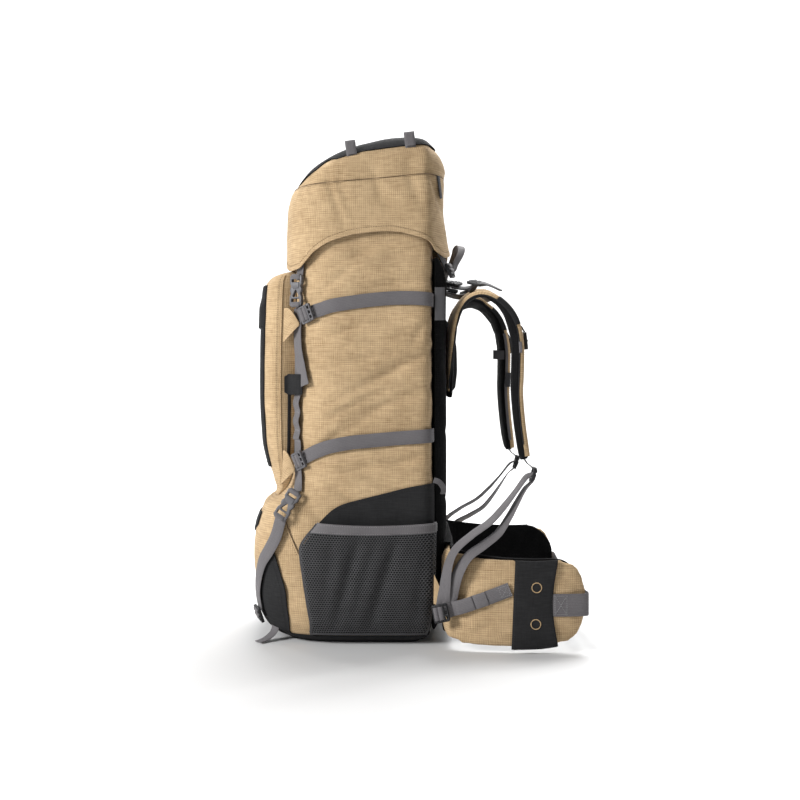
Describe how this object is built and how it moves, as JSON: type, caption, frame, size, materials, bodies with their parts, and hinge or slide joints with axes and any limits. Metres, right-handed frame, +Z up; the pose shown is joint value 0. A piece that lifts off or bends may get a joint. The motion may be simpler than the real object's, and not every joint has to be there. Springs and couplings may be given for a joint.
{
  "type": "trekking backpack",
  "caption": "Tall hooded trekking backpack with front pocket, mesh side pockets, shoulder harness, padded hip belt and webbing straps, standing on its base.",
  "frame": {"origin": "on the floor, under the middle of the pack's bounding box", "axes": "+Z up, +X from the bag towards the wearer's back and hip belt, +Y towards the wearer's left"},
  "size_m": [0.4917, 0.3962, 0.7561],
  "materials": {
    "tan_cloth": "coarse plain-weave tan cloth, matt",
    "black_cloth": "close-woven black cloth, matt",
    "padding": "black padded spacer cloth, matt",
    "pocket_mesh": "open black knitted mesh",
    "grey_webbing": "ribbed mid-grey webbing",
    "grey_plastic": "moulded grey plastic, slight sheen",
    "black_plastic": "moulded dark plastic, slight sheen"
  },
  "bodies": {
    "root": {"bag": "tan_cloth", "lid": "tan_cloth", "front_pocket": "tan_cloth", "hip_belt": "tan_cloth", "shoulder_strap_right": "tan_cloth", "shoulder_strap_left": "tan_cloth", "strap_tab_upper_right": "tan_cloth", "strap_tab_upper_left": "tan_cloth", "strap_tab_lower_right": "tan_cloth", "strap_tab_lower_left": "tan_cloth", "base": "black_cloth", "front_boot": "black_cloth", "lid_top": "black_cloth", "front_panel": "black_cloth", "lower_flap": "black_cloth", "side_panel_right": "black_cloth", "side_panel_left": "black_cloth", "belt_panel_right": "black_cloth", "belt_panel_left": "black_cloth", "back_panel": "padding", "yoke_pad": "padding", "mesh_pocket_right": "pocket_mesh", "mesh_pocket_left": "pocket_mesh", "grab_handle": "grey_webbing", "belt_webbing_right": "grey_webbing", "belt_webbing_left": "grey_webbing", "stabilizer_strap_right": "grey_webbing", "stabilizer_strap_left": "grey_webbing", "adjuster_strap_right": "grey_webbing", "adjuster_strap_left": "grey_webbing", "load_lifter_right": "grey_webbing", "load_lifter_left": "grey_webbing", "lid_rear_strap_right": "grey_webbing", "lid_rear_strap_left": "grey_webbing", "compression_strap_upper_right": "grey_webbing", "compression_strap_upper_left": "grey_webbing", "compression_strap_lower_right": "grey_webbing", "compression_strap_lower_left": "grey_webbing", "lid_strap_right": "grey_webbing", "lid_strap_left": "grey_webbing", "side_strap_right": "grey_webbing", "side_strap_left": "grey_webbing", "base_strap_right": "grey_webbing", "base_strap_left": "grey_webbing", "compression_lock_upper_right": "grey_plastic", "compression_lock_upper_left": "grey_plastic", "compression_lock_lower_right": "grey_plastic", "compression_lock_lower_left": "grey_plastic", "lid_buckle_right": "grey_plastic", "lid_buckle_left": "grey_plastic", "lower_buckle_right": "grey_plastic", "lower_buckle_left": "grey_plastic", "belt_buckle": "black_plastic", "base_lock_right": "black_plastic", "base_lock_left": "black_plastic", "load_lifter_lock_right": "black_plastic", "load_lifter_lock_left": "black_plastic", "adjuster_lock_right": "black_plastic", "adjuster_lock_left": "black_plastic"}
  },
  "joints": []
}
